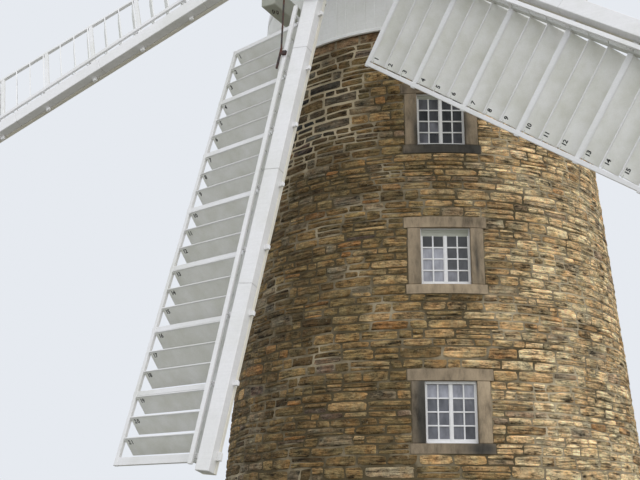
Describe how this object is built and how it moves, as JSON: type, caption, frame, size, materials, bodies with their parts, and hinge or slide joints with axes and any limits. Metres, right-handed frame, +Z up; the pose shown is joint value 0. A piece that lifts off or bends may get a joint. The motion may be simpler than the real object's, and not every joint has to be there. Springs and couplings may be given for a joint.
{
  "type": "six-sailed tower windmill",
  "caption": "Round battered stone tower mill with a white boarded ogee cap, shuttered sails on an iron cross and a fantail; the cap and the sails turn.",
  "frame": {"origin": "centre of the tower's underside, at ground level", "axes": "+Z up, -Y to the sails, +X to the right seen from the sails' side looking at the tower"},
  "size_m": [16.3938, 10.3366, 17.1345],
  "materials": {
    "stone": "rough",
    "dressed_stone": "rough",
    "floor_boards": "rough",
    "beam_timber": "matte",
    "white_timber": "satin",
    "shutter_canvas": "matte",
    "dark_iron": "satin",
    "glass": "gloss",
    "door_paint": "satin"
  },
  "bodies": {
    "tower": {"wall_1": "stone", "wall_2": "stone", "wall_3": "stone", "wall_4": "stone", "wall_5": "stone", "wall_6": "stone", "ground_floor": "dressed_stone", "upper_floors": "floor_boards", "curb": "beam_timber", "lintels": "dressed_stone", "jambs": "dressed_stone", "sills": "dressed_stone", "window_frames": "white_timber", "window_glass": "glass", "door_frame": "white_timber", "door_leaf": "door_paint"},
    "cap": {"cap_circle": "beam_timber", "sheers": "beam_timber", "cap_beams": "beam_timber", "cap_skirt": "white_timber", "cap_roof": "white_timber", "cap_neck": "white_timber", "cap_hood": "white_timber", "cap_finial": "white_timber", "fan_stage": "white_timber", "fan_posts": "white_timber", "fan_wheel": "white_timber", "fan_blades": "white_timber"},
    "rotor": {"windshaft": "dark_iron", "sail_cross": "dark_iron", "spider": "dark_iron", "striking_links": "dark_iron", "whips": "white_timber", "sail_1_frame": "white_timber", "sail_1_shutters": "shutter_canvas", "sail_2_frame": "white_timber", "sail_2_shutters": "shutter_canvas", "sail_3_frame": "white_timber", "sail_3_shutters": "shutter_canvas", "sail_4_frame": "white_timber", "sail_4_shutters": "shutter_canvas", "sail_5_frame": "white_timber", "sail_5_shutters": "shutter_canvas", "sail_6_frame": "white_timber", "sail_6_shutters": "shutter_canvas"}
  },
  "joints": [
    {"name": "cap_turn", "type": "hinge", "parent": "tower", "child": "cap", "pos_m": [0, 0, 7.823], "axis": [0, 0, 1], "continuous": true},
    {"name": "sail_turn", "type": "hinge", "parent": "cap", "child": "rotor", "pos_m": [0, -3.405, 9.039], "axis": [0, -0.9786, 0.206], "continuous": true}
  ]
}
